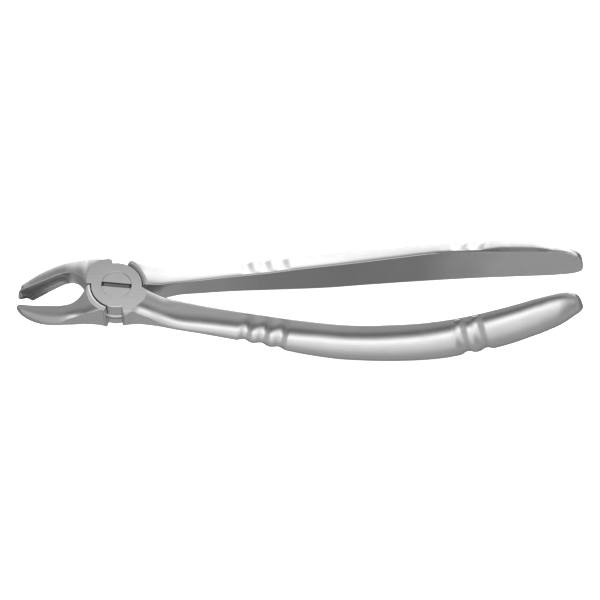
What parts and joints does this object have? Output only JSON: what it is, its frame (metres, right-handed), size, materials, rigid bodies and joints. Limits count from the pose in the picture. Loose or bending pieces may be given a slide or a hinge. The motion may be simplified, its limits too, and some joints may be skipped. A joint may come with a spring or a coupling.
{
  "type": "extraction forceps",
  "caption": "Steel dental extraction forceps with a slotted-screw lap joint, curved D-section grooved handles, and one pointed and one rounded fluted beak.",
  "frame": {"origin": "where the pivot axis meets the joint's back face, at the flush end of the joint screw", "axes": "+X along the tool from the joint to the handle ends, with the beaks at -X; +Z along the pivot axis, out of the joint's front face where the slotted screw head is; the pointed beak is on the +Y side"},
  "size_m": [0.1702, 0.0373, 0.0277],
  "materials": {
    "satin_steel": "satin ground and glass-beaded stainless steel, brighter along polished edges",
    "screw_steel": "satin ground stainless steel, ground flush with the joint face"
  },
  "bodies": {
    "back_half": {"back_half": "satin_steel", "pivot_screw": "screw_steel"},
    "front_half": {"front_half": "satin_steel"}
  },
  "joints": [
    {"name": "pivot", "type": "hinge", "parent": "back_half", "child": "front_half", "pos_m": [0, 0, 0.00475], "axis": [0, 0, -1], "range_deg": [-1.5, 30]}
  ]
}
